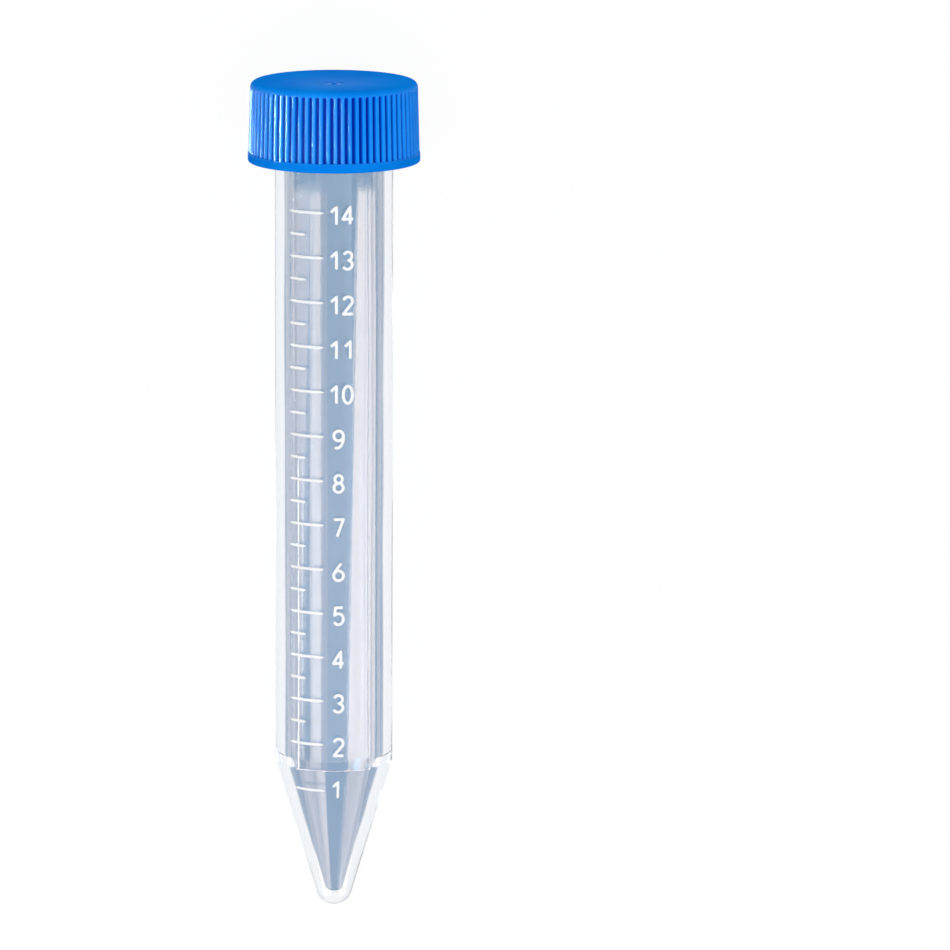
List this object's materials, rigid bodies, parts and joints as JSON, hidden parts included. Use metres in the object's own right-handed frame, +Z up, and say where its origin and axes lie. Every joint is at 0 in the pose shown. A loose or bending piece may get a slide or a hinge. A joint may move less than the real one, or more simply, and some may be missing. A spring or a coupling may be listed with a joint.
{
  "type": "conical tube with screw cap",
  "caption": "Clear conical laboratory tube of 15 ml with a printed scale and a wide ribbed blue screw cap, lying on its side.",
  "frame": {"origin": "on the surface that the tube lies on, under the middle of its length and width", "axes": "+X runs from the tip to the cap, +Z is up. The tube's own axis leans up towards the cap by 2.5 degrees from +X, because the cap is wider than the barrel"},
  "size_m": [0.1204, 0.0244, 0.0245],
  "materials": {
    "clear_plastic": "gloss",
    "blue_cap": "satin",
    "liner": "matte"
  },
  "bodies": {
    "tube": {"tube": "clear_plastic"},
    "seal": {"seal_liner": "liner"},
    "cap": {"screw_cap": "blue_cap"}
  },
  "joints": [
    {"name": "cap_lift", "type": "slide", "parent": "tube", "child": "seal", "axis": [0.999, 0, 0.0436], "range_m": [0, 0.012]},
    {"name": "cap_turn", "type": "hinge", "parent": "seal", "child": "cap", "pos_m": [0.04832, 0, 0.01218], "axis": [0.999, 0, 0.0436], "range_deg": [0, 1440]}
  ],
  "couplings": [
    {"joint": "cap_lift", "follows": "cap_turn", "m_per_rad": 0.00047746}
  ]
}
